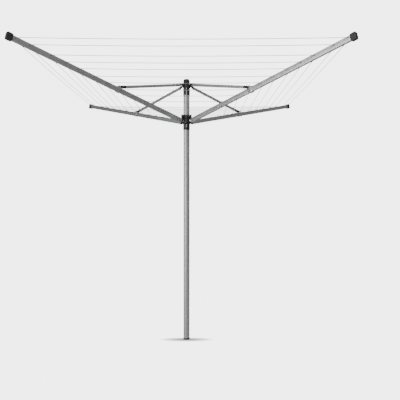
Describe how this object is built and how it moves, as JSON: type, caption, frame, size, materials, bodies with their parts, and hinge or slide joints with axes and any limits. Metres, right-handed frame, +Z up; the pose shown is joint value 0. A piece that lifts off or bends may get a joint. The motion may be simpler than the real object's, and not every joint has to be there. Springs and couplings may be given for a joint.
{
  "type": "rotary clothesline",
  "caption": "Rotary clothesline: a slim mast with folding arms on an umbrella linkage, carrying square rings of drying line.",
  "frame": {"origin": "middle of the foot's flat underside", "axes": "+Z up the mast; the arms point between X and Y, at 45 degrees to both; the release lever is at +Y, the back"},
  "size_m": [2.1064, 2.1064, 2.1459],
  "materials": {
    "aluminium": "satin, drawn along the tube",
    "black_plastic": "black moulding, half gloss",
    "steel": "zinc plated pins and spring",
    "line": "light grey coated line"
  },
  "bodies": {
    "foot": {"foot_plug": "black_plastic"},
    "mast": {"mast_tube": "aluminium", "mast_cap": "black_plastic"},
    "crown": {"upper_hub": "black_plastic", "upper_hub_pin_1": "steel", "upper_hub_pin_2": "steel", "upper_hub_pin_3": "steel", "upper_hub_pin_4": "steel", "drying_line": "line"},
    "runner": {"lower_hub": "black_plastic", "lower_hub_pin_1": "steel", "lower_hub_pin_2": "steel", "lower_hub_pin_3": "steel", "lower_hub_pin_4": "steel", "release_pin": "steel", "release_spring": "steel"},
    "lever": {"release_lever": "black_plastic"},
    "strut_1": {"strut_tube_1": "aluminium", "strut_root_1": "black_plastic", "strut_end_1": "black_plastic"},
    "arm_1": {"arm_tube_1": "aluminium", "arm_root_1": "black_plastic", "arm_tip_1": "black_plastic", "knee_bracket_1": "aluminium", "knee_pin_1": "steel"},
    "strut_2": {"strut_tube_2": "aluminium", "strut_root_2": "black_plastic", "strut_end_2": "black_plastic"},
    "arm_2": {"arm_tube_2": "aluminium", "arm_root_2": "black_plastic", "arm_tip_2": "black_plastic", "knee_bracket_2": "aluminium", "knee_pin_2": "steel"},
    "strut_3": {"strut_tube_3": "aluminium", "strut_root_3": "black_plastic", "strut_end_3": "black_plastic"},
    "arm_3": {"arm_tube_3": "aluminium", "arm_root_3": "black_plastic", "arm_tip_3": "black_plastic", "knee_bracket_3": "aluminium", "knee_pin_3": "steel"},
    "strut_4": {"strut_tube_4": "aluminium", "strut_root_4": "black_plastic", "strut_end_4": "black_plastic"},
    "arm_4": {"arm_tube_4": "aluminium", "arm_root_4": "black_plastic", "arm_tip_4": "black_plastic", "knee_bracket_4": "aluminium", "knee_pin_4": "steel"}
  },
  "joints": [
    {"name": "mast_spin", "type": "hinge", "parent": "foot", "child": "mast", "pos_m": [0, 0, 0], "axis": [0, 0, 1], "continuous": true},
    {"name": "crown_lift", "type": "slide", "parent": "mast", "child": "crown", "axis": [0, 0, 1], "range_m": [-0.58, 0]},
    {"name": "fold", "type": "hinge", "parent": "crown", "child": "strut_1", "pos_m": [0.03253, -0.03253, 2.086], "axis": [0.7071, 0.7071, 0], "range_deg": [0, 76.4], "deforming": ["drying_line"]},
    {"name": "strut_turn_2", "type": "hinge", "parent": "crown", "child": "strut_2", "pos_m": [0.03253, 0.03253, 2.086], "axis": [-0.7071, 0.7071, 0], "range_deg": [0, 76.4]},
    {"name": "strut_turn_3", "type": "hinge", "parent": "crown", "child": "strut_3", "pos_m": [-0.03253, 0.03253, 2.086], "axis": [-0.7071, -0.7071, 0], "range_deg": [0, 76.4]},
    {"name": "strut_turn_4", "type": "hinge", "parent": "crown", "child": "strut_4", "pos_m": [-0.03253, -0.03253, 2.086], "axis": [0.7071, -0.7071, 0], "range_deg": [0, 76.4]},
    {"name": "knee_1", "type": "hinge", "parent": "strut_1", "child": "arm_1", "pos_m": [0.47305, -0.47305, 1.958], "axis": [-0.7071, -0.7071, 0], "range_deg": [0, 152.8]},
    {"name": "knee_2", "type": "hinge", "parent": "strut_2", "child": "arm_2", "pos_m": [0.47305, 0.47305, 1.958], "axis": [0.7071, -0.7071, 0], "range_deg": [0, 152.8]},
    {"name": "knee_3", "type": "hinge", "parent": "strut_3", "child": "arm_3", "pos_m": [-0.47305, 0.47305, 1.958], "axis": [0.7071, 0.7071, 0], "range_deg": [0, 152.8]},
    {"name": "knee_4", "type": "hinge", "parent": "strut_4", "child": "arm_4", "pos_m": [-0.47305, -0.47305, 1.958], "axis": [-0.7071, 0.7071, 0], "range_deg": [0, 152.8]},
    {"name": "runner_level", "type": "hinge", "parent": "arm_1", "child": "runner", "pos_m": [0.03253, -0.03253, 1.83], "axis": [0.7071, 0.7071, 0], "range_deg": [0, 76.4]},
    {"name": "lever_pull", "type": "hinge", "parent": "runner", "child": "lever", "pos_m": [0, 0.039, 1.752], "axis": [1, 0, 0], "range_deg": [0, 18], "stiffness_Nm_per_rad": 0.4}
  ],
  "couplings": [
    {"joint": "strut_turn_2", "follows": "fold", "ratio": 1},
    {"joint": "strut_turn_3", "follows": "fold", "ratio": 1},
    {"joint": "strut_turn_4", "follows": "fold", "ratio": 1},
    {"joint": "knee_1", "follows": "fold", "ratio": 2},
    {"joint": "knee_2", "follows": "fold", "ratio": 2},
    {"joint": "knee_3", "follows": "fold", "ratio": 2},
    {"joint": "knee_4", "follows": "fold", "ratio": 2},
    {"joint": "runner_level", "follows": "fold", "ratio": 1}
  ]
}
